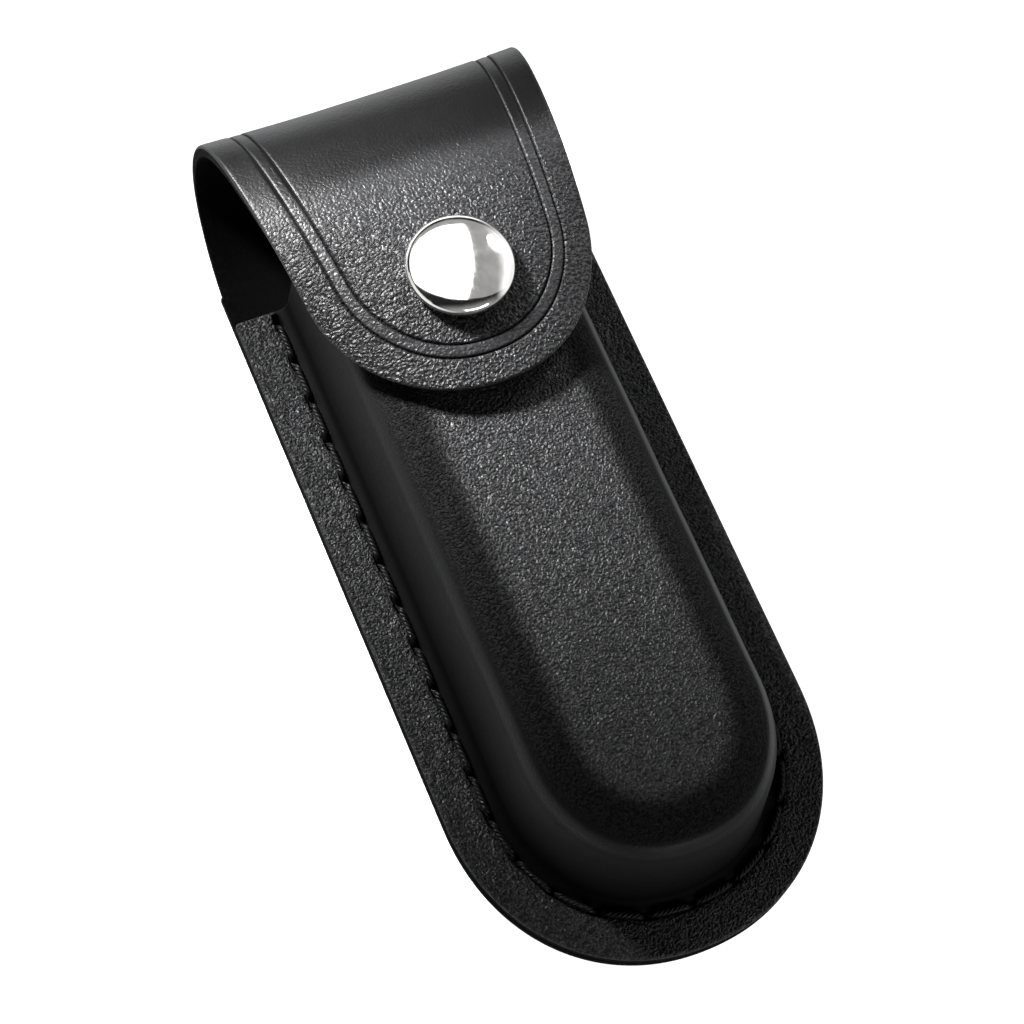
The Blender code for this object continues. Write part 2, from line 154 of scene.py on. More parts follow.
def noise(tree, at, scale, detail=2.0, roughness=0.5, distortion=0.0):
    return add_node(tree, "ShaderNodeTexNoise", {
        "Vector": at, "Scale": scale, "Detail": detail, "Roughness": roughness,
        "Distortion": distortion,
    }).outputs[0]


def mix_colours(tree, share, low, high):
    return add_node(tree, "ShaderNodeMix", {0: share, 6: low, 7: high},
                    data_type="RGBA").outputs[2]


def mix_values(tree, share, low, high):
    return add_node(tree, "ShaderNodeMix", {0: share, 2: low, 3: high}).outputs[0]


def scale_vector(tree, vector, scale):
    return add_node(tree, "ShaderNodeVectorMath", {0: vector, "Scale": scale},
                    operation="SCALE").outputs[0]


def add_vectors(tree, a, b):
    return add_node(tree, "ShaderNodeVectorMath", {0: a, 1: b}, operation="ADD").outputs[0]


def bump_normal(tree, height, distance, strength=1.0):
    return add_node(tree, "ShaderNodeBump", {
        "Strength": strength, "Distance": distance, "Height": height}).outputs[0]


def new_material(name):
    material = bpy.data.materials.new(name)
    material.use_nodes = True
    tree = material.node_tree
    return material, tree, tree.nodes["Principled BSDF"]


def surface_place(tree):
    """The place on the leather in millimetres, which stays with it as it bends."""
    place = add_node(tree, "ShaderNodeAttribute", attribute_name="grain_at").outputs["Vector"]
    return scale_vector(tree, place, 1 / MM)


def zones(tree):
    """How stretched and how near a cut edge the surface is, and how much painted shade it takes
    in grooves, slits, at the wall's foot and on the shoulder.
    """
    attribute = add_node(tree, "ShaderNodeAttribute", attribute_name="zones")
    split = add_node(tree, "ShaderNodeSeparateXYZ", {0: attribute.outputs["Vector"]})
    return split.outputs[0], split.outputs[1], split.outputs[2]


def make_grain_leather():
    """The grain side: fine pebbles, smooth and partly burnished where stretched; painted shade
    darkens the pebbles' valleys, the stretched zones, grooves, slits, the wall's foot and the
    shoulder.
    """
    material, tree, shader = new_material("black_grain_leather")
    at = surface_place(tree)
    smooth, rim, groove_shade = zones(tree)
    warp = add_node(tree, "ShaderNodeTexNoise", {"Vector": at, "Scale": 0.9, "Detail": 2.0})
    shift = add_vectors(tree, warp.outputs["Color"], (-0.5, -0.5, -0.5))
    bent = add_vectors(tree, at, scale_vector(tree, shift, 0.8))
    pebble = add_node(tree, "ShaderNodeTexVoronoi", {"Vector": bent, "Scale": 2.05},
                      feature="DISTANCE_TO_EDGE").outputs["Distance"]
    pebble = fade(tree, pebble, 0.0, 0.35)
    wrinkle = noise(tree, bent, 2.9, 0.3, 0.5, 0.45)
    fine = noise(tree, at, 4.5, 1.0, 0.5)
    grain = math_node(tree, "MULTIPLY_ADD", pebble, 0.08, math_node(
        tree, "MULTIPLY_ADD", wrinkle, 2.4, math_node(tree, "MULTIPLY", fine, 0.05)))
    strength = fade(tree, smooth, 0.0, 1.0, 1.0, 0.05)
    slow = noise(tree, at, 0.16, 2.0)
    height = math_node(tree, "MULTIPLY_ADD", grain, strength, math_node(
        tree, "MULTIPLY_ADD", slow, 0.35, math_node(tree, "MULTIPLY", fine, 0.02)))
    # Painted shade: the grain's valleys are coloured darker than its tops, and the tops get more
    # shine.
    grain_relief_shading = fade(tree, grain, 0.8, 1.6)
    # Stretched leather is coloured near black: partly its burnish, partly painted shade where the
    # light falls off.
    burnish_and_shade = fade(tree, smooth, 0.6, 0.84)
    colour = mix_colours(tree, grain_relief_shading, (0.0035, 0.0035, 0.0038, 1), (0.016, 0.016, 0.017, 1))
    colour = mix_colours(tree, smooth, colour, (0.013, 0.013, 0.0138, 1))
    colour = mix_colours(tree, burnish_and_shade, colour, (0.0018, 0.0018, 0.002, 1))
    colour = mix_colours(tree, fade(tree, rim, 0.35, 1.0), colour, (0.012, 0.012, 0.0118, 1))
    # Painted shade in grooves, slits, at the wall's foot and on the shoulder: colour near black
    # and little shine.
    colour = mix_colours(tree, groove_shade, colour, (0.0006, 0.0006, 0.0007, 1))
    patch = noise(tree, at, 0.33, 3.0, 0.6)
    matte = math_node(tree, "MULTIPLY_ADD", patch, 0.10, fade(tree, grain_relief_shading, 0.0, 1.0, 0.44, 0.36))
    polished = math_node(tree, "MULTIPLY_ADD", patch, 0.08, 0.36)
    roughness = math_node(tree, "MULTIPLY_ADD", groove_shade, 0.35,
                          mix_values(tree, burnish_and_shade, matte, polished), clamp=True)
    tree.links.new(colour, shader.inputs["Base Color"])
    tree.links.new(roughness, shader.inputs["Roughness"])
    shine = mix_values(tree, burnish_and_shade, fade(tree, grain_relief_shading, 0.0, 1.0, 0.35, 0.6), 0.42)
    shine = math_node(tree, "MULTIPLY", shine, fade(tree, groove_shade, 0.1, 1.0, 1.0, 0.1))
    tree.links.new(shine, shader.inputs["Specular IOR Level"])
    tree.links.new(bump_normal(tree, height, 0.17 * MM), shader.inputs["Normal"])
    shader.inputs["IOR"].default_value = 1.3
    return material


def make_suede():
    """The flesh side and the cut edges: matte fibres, dyed black."""
    material, tree, shader = new_material("black_suede")
    at = surface_place(tree)
    rim = zones(tree)[1]
    stretched = add_node(tree, "ShaderNodeMapping", {0: at, "Scale": (1.0, 0.45, 1.0)}).outputs[0]
    fibre = noise(tree, stretched, 4.2, 5.0, 0.7, 1.4)
    clump = noise(tree, at, 0.8, 3.0, 0.6)
    height = math_node(tree, "MULTIPLY_ADD", clump, 0.8, fibre)
    colour = mix_colours(tree, fade(tree, fibre, 0.35, 0.7), (0.0003, 0.0003, 0.0003, 1),
                         (0.002, 0.0019, 0.0019, 1))
    fuzz = math_node(tree, "MULTIPLY", rim, fade(tree, fibre, 0.54, 0.72))
    colour = mix_colours(tree, fuzz, colour, (0.022, 0.021, 0.02, 1))
    tree.links.new(colour, shader.inputs["Base Color"])
    tree.links.new(fade(tree, fibre, 0.3, 0.7, 0.78, 0.95), shader.inputs["Roughness"])
    tree.links.new(bump_normal(tree, height, 0.16 * MM), shader.inputs["Normal"])
    shader.inputs["IOR"].default_value = 1.15
    shader.inputs["Specular IOR Level"].default_value = 0.2
    shader.inputs["Sheen Weight"].default_value = 0.01
    shader.inputs["Sheen Roughness"].default_value = 0.5
    return material


def make_thread_material():
    """Waxed black polyester: fine filaments that run along each ply."""
    material, tree, shader = new_material("waxed_black_thread")
    place = add_node(tree, "ShaderNodeAttribute", attribute_name="grain_at").outputs["Vector"]
    filament = noise(tree, add_node(tree, "ShaderNodeMapping", {
        0: place, "Scale": (1.2, 9.0, 1.0)}).outputs[0], 1.0, 4.0, 0.65)
    wax = noise(tree, place, 0.5, 2.0)
    colour = mix_colours(tree, fade(tree, filament, 0.35, 0.65), (0.0010, 0.0010, 0.0011, 1),
                         (0.004, 0.004, 0.0044, 1))
    tree.links.new(colour, shader.inputs["Base Color"])
    tree.links.new(fade(tree, wax, 0.35, 0.65, 0.36, 0.55), shader.inputs["Roughness"])
    tree.links.new(bump_normal(tree, filament, 0.05 * MM, 0.9), shader.inputs["Normal"])
    shader.inputs["IOR"].default_value = 1.25
    return material


def make_metal(name, dark, bright, roughness, dents):
    """Plated metal with a faint haze, hairline scratches and slight dents."""
    material, tree, shader = new_material(name)
    at = scale_vector(tree, add_node(tree, "ShaderNodeTexCoord").outputs["Object"], 1 / MM)
    haze = noise(tree, at, 0.35, 3.0, 0.6)
    brushed = add_node(tree, "ShaderNodeMapping", {
        0: at, "Rotation": (0.0, 0.0, 0.6), "Scale": (7.0, 0.25, 0.25)}).outputs[0]
    scratch = fade(tree, noise(tree, brushed, 1.6, 3.0, 0.6), 0.64, 0.72)
    waves = noise(tree, at, 0.42, 2.0, 0.5, 0.3)
    height = math_node(tree, "MULTIPLY_ADD", waves, dents,
                       math_node(tree, "MULTIPLY", scratch, -0.012))
    colour = mix_colours(tree, fade(tree, haze, 0.3, 0.7), dark, bright)
    rough = math_node(tree, "MULTIPLY_ADD", fade(tree, haze, 0.4, 0.7), 0.06, math_node(
        tree, "MULTIPLY_ADD", scratch, 0.10, roughness))
    tree.links.new(colour, shader.inputs["Base Color"])
    tree.links.new(rough, shader.inputs["Roughness"])
    tree.links.new(bump_normal(tree, height, 0.1 * MM), shader.inputs["Normal"])
    shader.inputs["Metallic"].default_value = 1.0
    return material


GRAIN = make_grain_leather()
SUEDE = make_suede()
THREAD = make_thread_material()
NICKEL = make_metal("polished_nickel", (0.70, 0.69, 0.67, 1), (0.82, 0.81, 0.79, 1), 0.07, 0.2)
BRASS = make_metal("spring_brass", (0.60, 0.46, 0.24, 1), (0.74, 0.60, 0.34, 1), 0.2, 0.3)


# --- Shells of leather ------------------------------------------------------------

def unit(vectors):
    return vectors / np.linalg.norm(vectors, axis=-1, keepdims=True)


def smoothstep(value):
    value = np.clip(value, 0.0, 1.0)
    return value * value * (3 - 2 * value)


SWELL_WAVES = [(random.uniform(-1, 1, 3) * 2 * math.pi / SWELL_LENGTH, random.uniform(0, 6.28))
               for _ in range(7)]


def swelling(place):
    """Slow waves in the surface, the same wherever two pieces meet."""
    return SWELL * sum(np.sin(place @ wave + phase) for wave, phase in SWELL_WAVES) / 2


def edge_depth(radius, inset, end_distance=1.0):
    """How far a rounded cut edge falls below the face; by default no cut end is near."""
    dx = np.maximum(radius - inset, 0.0)
    dy = np.maximum(radius - end_distance, 0.0)
    return radius - np.sqrt(np.maximum(radius ** 2 - dx ** 2 - dy ** 2, 0.0))


EDGE_SHARE = 1 - np.cos(np.linspace(0, math.pi / 2, EDGE_STEPS + 1))
STRIP_INSETS = np.concatenate((
    GRAIN_EDGE * EDGE_SHARE, np.array([0.8, 1.3, 1.9, 2.5, 3.1, 3.6]) * MM,
    np.array([3.85, 3.98, 4.07, 4.13, 4.19, 4.24, 4.3, 4.36, 4.41, 4.47, 4.53, 4.62, 4.76,
              4.95, 5.15, 5.35, 5.5, 5.62, 5.74, 5.87, 5.97, 6.03, 6.09, 6.14, 6.2, 6.26, 6.31,
              6.37, 6.43, 6.52, 6.65, 6.85, 7.3, 7.9, 8.7, 9.7, 10.8]) * MM))
INNER_STEPS = 11


def flesh_rows(count):
    """The rows that the flesh side shares with the finer grain side."""
    rows = list(range(EDGE_STEPS + 1)) + list(range(EDGE_STEPS + 4, count - 1, 3))
    return np.array(rows + [count - 1])


def make_leather(name, grids, close_ends):
    """A shell from grids of grain and flesh points, as (outer, inner, zones, grain_at).

    Columns run round the outline and rows from the cut edge inwards; the inner
    grid has the rows of flesh_rows only. The grids meet where their last rows do.
    """
    points, place, zone, faces, slots = [], [], [], [], []
    count = 0

    def add_faces(quads, slot):
        faces.extend(quads)
        slots.extend([slot] * len(quads))

    for outer, inner, zone_values, grain_at in grids:
        columns, rows = outer.shape[:2]
        shared = flesh_rows(rows)
        top = count + np.arange(columns * rows).reshape(columns, rows)
        count += top.size
        low = count + np.arange(columns * len(shared)).reshape(columns, len(shared))
        count += low.size
        points += [outer.reshape(-1, 3), inner.reshape(-1, 3)]
        place += [grain_at.reshape(-1, 3),
                  (grain_at[:, shared] + np.array((0, 0, 2 * LEATHER))).reshape(-1, 3)]
        zone += [zone_values.reshape(-1, 3), zone_values[:, shared].reshape(-1, 3)]
        add_faces(np.stack((top[:-1, :-1], top[:-1, 1:], top[1:, 1:], top[1:, :-1]), -1)
                  .reshape(-1, 4).tolist(), 0)
        add_faces(np.stack((low[:-1, :-1], low[1:, :-1], low[1:, 1:], low[:-1, 1:]), -1)
                  .reshape(-1, 4).tolist(), 1)
        add_faces(np.stack((top[:-1, 0], top[1:, 0], low[1:, 0], low[:-1, 0]), -1).tolist(), 1)
        if close_ends:
            for column, flip in ((0, False), (columns - 1, True)):
                for k in range(len(shared) - 1):
                    span = top[column, shared[k]:shared[k + 1] + 1].tolist()
                    face = [low[column, k], low[column, k + 1]] + span[::-1]
                    add_faces([face[::-1] if flip else face], 1)
    mesh = bpy.data.meshes.new(name)
    mesh.from_pydata(np.concatenate(points), [], faces)
    mesh.polygons.foreach_set("material_index", slots)
    for key, values in (("grain_at", place), ("zones", zone)):
        attribute = mesh.attributes.new(key, "FLOAT_VECTOR", "POINT")
        attribute.data.foreach_set("vector", np.concatenate(values).astype(np.float32).ravel())
    bm = bmesh.new()
    bm.from_mesh(mesh)
    bmesh.ops.remove_doubles(bm, verts=bm.verts, dist=MERGE_DISTANCE)
    bm.to_mesh(mesh)
    bm.free()
    mesh.shade_smooth()
    obj = bpy.data.objects.new(name, mesh)
    bpy.context.scene.collection.objects.link(obj)
    mesh.materials.append(GRAIN)
    mesh.materials.append(SUEDE)
    return obj


# --- Flat outlines: columns of (edge, inward direction, spine point) ---------------

def leg(side, lengths, half_width):
    """Stations along one straight side of a piece."""
    edge = np.column_stack((side * half_width(lengths), lengths))
    inward = np.tile((-float(side), 0.0), (len(lengths), 1))
    spine = np.column_stack((np.zeros(len(lengths)), lengths))
    return edge, inward, spine


def rounded_tip(start, reach, power, half_width, steps):
    """Stations round an end, from the left side to the right."""
    angle = np.linspace(0, math.pi, steps + 1)
    across = -np.sign(np.cos(angle)) * np.abs(np.cos(angle)) ** (2 / power)
    along = np.abs(np.sin(angle)) ** (2 / power)
    length = start + reach * along
    edge = np.column_stack((across * half_width(length), length))
    inward = unit(np.column_stack((
        -np.sign(across) * np.abs(across) ** (power - 1) / half_width(start),
        -along ** (power - 1) / reach)))
    spine = np.tile((0.0, start), (steps + 1, 1))
    return edge, inward, spine


def join_stations(*parts):
    """One run of stations, with those that repeat left out."""
    edge, inward, spine = (np.concatenate(group) for group in zip(*parts))
    keep = np.append(True, np.linalg.norm(np.diff(edge, axis=0), axis=1) > 0.003 * MM)
    return edge[keep], inward[keep], spine[keep]


def resample(stations, marks, targets):
    """Stations at the target marks, read from a dense run."""
    out = [np.column_stack([np.interp(targets, marks, part[:, axis]) for axis in (0, 1)])
           for part in stations]
    out[1] = unit(out[1])
    return tuple(out)


def flat_grid(stations, insets, inner_steps):
    edge, inward, spine = (part[:, None, :] for part in stations)
    rim_rows = edge + inward * insets[None, :, None]
    share = (np.arange(1, inner_steps + 1) / inner_steps)[None, :, None]
    rim = rim_rows[:, -1:]
    return np.concatenate((rim_rows, rim + (spine - rim) * share), axis=1)


def cut_lengths(start, end, spacing):
    """Lengths from one cut to the next, with a thin row beside each cut."""
    steps = max(2, round(abs(end - start) / spacing))
    inside = np.linspace(start, end, steps + 1)
    sliver = math.copysign(SLIVER, end - start)
    return np.concatenate(([start, start + sliver], inside[1:-1], [end - sliver, end]))


# --- Seams -----------------------------------------------------------------------

class Seam:
    """A polyline in plan with its stitches evenly along it."""

    def __init__(self, points, pitch):
        self.points = points
        steps = np.linalg.norm(np.diff(points, axis=0), axis=1)
        self.marks = np.append(0.0, np.cumsum(steps))
        self.length = self.marks[-1]
        self.count = round(self.length / pitch)
        self.pitch = self.length / self.count
        self.stitches = np.arange(self.count + 1) * self.pitch

    def at(self, marks):
        return np.column_stack([np.interp(marks, self.marks, self.points[:, axis])
                                for axis in (0, 1)])

    def direction(self, marks):
        reach = 0.5 * MM
        return unit(self.at(marks + reach) - self.at(marks - reach))


def seam_press(flat, seam):
    """Depth of the channel and slits that a seam presses into a face, and the painted shade in
    them.
    """
    depth = np.zeros(flat.shape[:-1])
    channel = np.zeros(flat.shape[:-1])
    low, high = seam.points.min(0) - 3 * MM, seam.points.max(0) + 3 * MM
    near = np.all((flat > low) & (flat < high), axis=-1)
    place = flat[near]
    dense = seam.at(np.linspace(0, seam.length, seam.count * 6 + 1))
    distance = np.full(len(place), 1.0)
    for a, b in zip(dense, dense[1:]):
        run = b - a
        share = np.clip(((place - a) @ run) / (run @ run), 0, 1)
        distance = np.minimum(distance, np.linalg.norm(place - a - share[:, None] * run, axis=1))
    channel[near] = np.exp(-(distance / CHANNEL_HALF_WIDTH) ** 2)
    slit = np.zeros(len(place))
    pucker = np.zeros(len(place))
    for centre, along in zip(seam.at(seam.stitches), seam.direction(seam.stitches)):
        offset = place - centre
        u = offset @ along
        v = offset @ np.array((-along[1], along[0]))
        inside = 1 - (u / SLIT_HALF[0]) ** 4 - (v / SLIT_HALF[1]) ** 2
        slit = np.maximum(slit, smoothstep(inside * 1.6))
        pucker = np.maximum(pucker, np.exp(-(u / (2.2 * MM)) ** 2 - (v / (1.0 * MM)) ** 2))
    depth[near] = CHANNEL_DEPTH * channel[near] + 0.12 * MM * pucker + SLIT_DEPTH * slit
    # Painted shade along the channel and in the slits.
    shade = channel * 0.6
    shade[near] = np.maximum(shade[near], smoothstep(slit * 4))
    return depth, shade


def seam_marks(seam, total_start, total_end):
    """Distances along a seam and past its ends, close together at its stitches."""
    offsets = np.array([0.0, 0.2, 0.42, 0.64, 0.86, 1.06, 1.26, 1.46, 1.8, 2.3, 2.8]) * MM
    marks = (seam.stitches[:, None] + np.concatenate((-offsets, offsets))[None]).ravel()
    marks = np.append(marks, (seam.stitches[:-1] + seam.stitches[1:]) / 2)
    marks = marks[(marks > total_start + 0.8 * MM) & (marks < total_end - 0.8 * MM)]
    marks = np.concatenate((marks, total_start + END_STEPS, total_end - END_STEPS))
    return np.unique(np.round(marks, 7))


# --- The strip ---------------------------------------------------------------------

def strip_frame(length):
    """Y, Z and turn of the grain side at lengths past the fold's start."""
    y = FOLD_START_Y + np.minimum(length, 0.0)
    z = np.full_like(y, BACK_Z)
    turn = np.zeros_like(y)
    left = np.maximum(length, 0.0)
    for radius, bend in STRIP_BENDS:
        step = np.minimum(left, radius * bend) / radius
        y = y + radius * (np.sin(turn + step) - np.sin(turn))
        z = z + radius * (np.cos(turn) - np.cos(turn + step))
        turn = turn + step
        left = left - radius * step
    return y + left * np.cos(turn), z + left * np.sin(turn), turn


def strip_half_width(length):
    """The strip narrows a little past the mouth."""
    past_mouth = np.maximum(FOLD_START_Y + length - MOUTH_Y, 0.0)
    return HALF_WIDTH - 0.064 * past_mouth - 0.0003 / MM * past_mouth ** 2


def strip_droop(length, x):
    """The flap's edges hang a little below its middle and the fold's stand proud."""
    past = np.maximum(length - 36 * MM, 0.0)
    droop = 0.05 * past + 0.0032 / MM * past ** 2
    inside = np.clip(length / (36 * MM), 0.0, 1.0)
    droop = droop - 0.5 * MM * np.sin(math.pi * inside)
    return droop * (np.abs(x) / (21 * MM)) ** 2.6


def strip_grain_side(x, length):
    y, z, turn = strip_frame(length)
    droop = strip_droop(length, x)
    return np.stack((x + 0 * y, y - droop * np.sin(turn), z + droop * np.cos(turn)), -1)


def strip_place(flat, depth):
    """Points below the grain side; flat holds x and length along the strip."""
    x, length = flat[..., 0], flat[..., 1]
    reach = 0.02 * MM
    across = strip_grain_side(x + reach, length) - strip_grain_side(x - reach, length)
    along = strip_grain_side(x, length + reach) - strip_grain_side(x, length - reach)
    inward = unit(np.cross(across, along))
    return strip_grain_side(x, length) + inward * depth[..., None]


def crease_press(inset, length):
    """Depth and smoothness of the two pressed lines and the band between them, and the painted
    shade in the lines.
    """
    shown = smoothstep((length + 3 * MM) / (4 * MM))
    lines = sum(np.exp(-(np.abs(inset - at) / CREASE_HALF_WIDTH) ** 1.7) for at in CREASES)
    band = smoothstep((inset - CREASES[0]) / (0.3 * MM)) \
        * smoothstep((CREASES[1] - inset) / (0.3 * MM))
    return shown * (CREASE_DEPTH * lines + BAND_DEPTH * band), 0.6 * shown * band, shown * lines


def strip_grid(stations, seam=None):
    """Grain and flesh points, zones and grain places of a part of the strip."""
    flat = flat_grid(stations, STRIP_INSETS, INNER_STEPS)
    columns, rows = flat.shape[:2]
    inset = np.append(STRIP_INSETS, STRIP_INSETS[-1] + MM * np.arange(1, INNER_STEPS + 1))
    inset = np.tile(inset, (columns, 1))
    length = flat[..., 1]
    grain_at = np.concatenate((flat, np.zeros((columns, rows, 1))), -1) * STRIP_GRAIN
    wave = swelling(grain_at)
    depth, smooth, groove_shade = crease_press(inset, length)
    depth = depth + edge_depth(GRAIN_EDGE, inset) + wave
    # Smooth where stretched over the fold and onto the flap; the darker colour this gives is
    # partly burnish, partly painted shade.
    stretched = 0.88 * smoothstep((length + 2 * MM) / (6 * MM)) \
        * (1 - smoothstep((length - 43 * MM) / (22 * MM)))
    smooth = np.maximum(smooth, stretched)
    # Painted shade in the crease lines, joined below by that of the seam.
    groove_shade = np.clip(groove_shade, 0, 1) * 0.8
    if seam is not None:
        press, shade = seam_press(flat + np.array((0.0, FOLD_START_Y)), seam)
        depth, groove_shade = depth + press, np.maximum(groove_shade, shade)
    rim = np.exp(-inset / RIM_WIDTH)
    shared = flesh_rows(rows)
    low_inset = STRIP_INSETS.copy()
    low_inset[:EDGE_STEPS + 1] = FLESH_EDGE * EDGE_SHARE
    low_flat = flat_grid(stations, low_inset, INNER_STEPS)[:, shared]
    low_rows = np.append(low_inset, inset[0, len(low_inset):])[shared]
    low_depth = LEATHER + wave[:, shared] - edge_depth(FLESH_EDGE, low_rows[None, :])
    return (strip_place(flat, depth), strip_place(low_flat, low_depth),
            np.stack((smooth, rim, groove_shade), -1), grain_at)


def body_outline(top):
    """Dense stations of the U shared by the back panel and the pocket, from top to top."""
    def width(y):
        return np.full(np.shape(y), HALF_WIDTH)

    side = np.linspace(top, ROUND_Y, 240)
    return join_stations(leg(-1, side, width),
                         rounded_tip(ROUND_Y, -ROUND_LENGTH, ROUND_POWER, width, 700),
                         leg(1, side[::-1], width))


def seam_from(outline, inset, start_y):
    """The pocket's seam: the outline's offset, cut off at the start height."""
    line = outline[0] + outline[1] * inset
    line = line[line[:, 1] < start_y]
    ends = np.array([[line[0, 0], start_y], [line[-1, 0], start_y]])
    return Seam(np.concatenate((ends[:1], line, ends[1:])), SEAM_PITCH)


POCKET_SEAM = seam_from(body_outline(MOUTH_Y), SEAM_INSET, SEAM_START_Y)


def outline_stations(top):
    """Columns for the U, close together at the stitches of the pocket's seam."""
    dense = body_outline(top)
    line = dense[0] + dense[1] * SEAM_INSET
    marks = np.append(0.0, np.cumsum(np.linalg.norm(np.diff(line, axis=0), axis=1)))
    above = top - SEAM_START_Y
    targets = seam_marks(POCKET_SEAM, -above, POCKET_SEAM.length + above) + above
    return resample(dense, marks, targets)


def in_strip_lengths(stations):
    """Stations with Y measured from the fold's start, as the strip's are."""
    shift = np.array((0.0, FOLD_START_Y))
    return stations[0] - shift, stations[1], stations[2] - shift


def middle(a, b):
    return (HINGE_LENGTHS[a] + HINGE_LENGTHS[b]) / 2


CUTS = (0.0, middle(0, 1), middle(1, 2), middle(2, 3), middle(3, 4), 51.8 * MM)


def make_back_panel():
    stations = in_strip_lengths(outline_stations(FOLD_START_Y + CUTS[0]))
    panel = make_leather("back_panel_leather", [strip_grid(stations, seam=POCKET_SEAM)], False)
    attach(panel, "sheath")
    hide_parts("back_panel")


def make_fold():
    """Five pieces of leather along the fold, from the back panel to the flap."""
    for k in range(5):
        lengths = cut_lengths(CUTS[k], CUTS[k + 1], 0.36 * MM)
        grids = [strip_grid(leg(-1, lengths, strip_half_width)),
                 strip_grid(leg(1, lengths[::-1], strip_half_width))]
        piece = make_leather(f"fold_leather_{k + 1}", grids, False)
        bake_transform(piece)
        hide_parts(f"fold_segment_{min(k + 1, 4)}")


def make_flap():
    lengths = cut_lengths(CUTS[-1], FLAP_END_START, 0.4 * MM)
    tip = rounded_tip(FLAP_END_START, FLAP_END_LENGTH, FLAP_END_POWER, strip_half_width, 220)
    stations = join_stations(leg(-1, lengths, strip_half_width), tip,
                             leg(1, lengths[::-1], strip_half_width))
    flap = make_leather("flap_leather", [strip_grid(stations)], False)
    punch(flap, SOCKET_HIGH_Z - 2 * MM, CAP_BASE_Z + 2 * MM)
    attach(flap, "flap")
    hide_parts("flap")


def punch(obj, low_z, high_z):
    """Cut the hole of a snap part through the leather."""
    bm = bmesh.new()
    bmesh.ops.create_cone(bm, cap_ends=True, segments=48, radius1=PUNCH_RADIUS,
                          radius2=PUNCH_RADIUS, depth=high_z - low_z,
                          matrix=Matrix.Translation((0, SNAP_Y, (low_z + high_z) / 2)))
    mesh = bpy.data.meshes.new("punch")
    bm.to_mesh(mesh)
    bm.free()
    cutter = bpy.data.objects.new("punch", mesh)
    bpy.context.scene.collection.objects.link(cutter)
    modifier = obj.modifiers.new("punch", "BOOLEAN")
    modifier.operation = "DIFFERENCE"
    modifier.solver = "EXACT"
    modifier.object = cutter
    evaluated = obj.evaluated_get(bpy.context.evaluated_depsgraph_get())
    result = bpy.data.meshes.new_from_object(evaluated)
    obj.modifiers.clear()
    obj.data = result
    bpy.data.objects.remove(cutter, do_unlink=True)


# --- The moulded pocket --------------------------------------------------------------

def pocket_rows():
    """Inset, height and tilt of each row of the pocket, from the cut edge to the box's top."""
    rise = 1 - math.cos(WALL_ANGLE)
    wall = (BOX_HEIGHT - (FOOT_RADIUS + RIDGE_RADIUS) * rise) / math.sin(WALL_ANGLE)
    insets = np.concatenate((
        GRAIN_EDGE * EDGE_SHARE, np.array([0.8, 1.4, 2.1, 2.8, 3.5, 4.1, 4.5]) * MM,
        np.arange(4.75, 6.45, 0.13) * MM, [BOX_FOOT_INSET]))
    rows = [(inset, 0.0, 0.0) for inset in insets]
    for angle in np.linspace(0, WALL_ANGLE, 9)[1:]:
        rows.append((BOX_FOOT_INSET + FOOT_RADIUS * math.sin(angle),
                     FOOT_RADIUS * (1 - math.cos(angle)), angle))
    inset, height, _ = rows[-1]
    for step in np.linspace(0, wall, 15)[1:]:
        rows.append((inset + step * math.cos(WALL_ANGLE),
                     height + step * math.sin(WALL_ANGLE), WALL_ANGLE))
    inset, height, _ = rows[-1]
    for angle in np.linspace(WALL_ANGLE, 0, 25)[1:]:
        rows.append((inset + RIDGE_RADIUS * (math.sin(WALL_ANGLE) - math.sin(angle)),
                     height + RIDGE_RADIUS * (math.cos(angle) - math.cos(WALL_ANGLE)), angle))
    return np.array(rows)


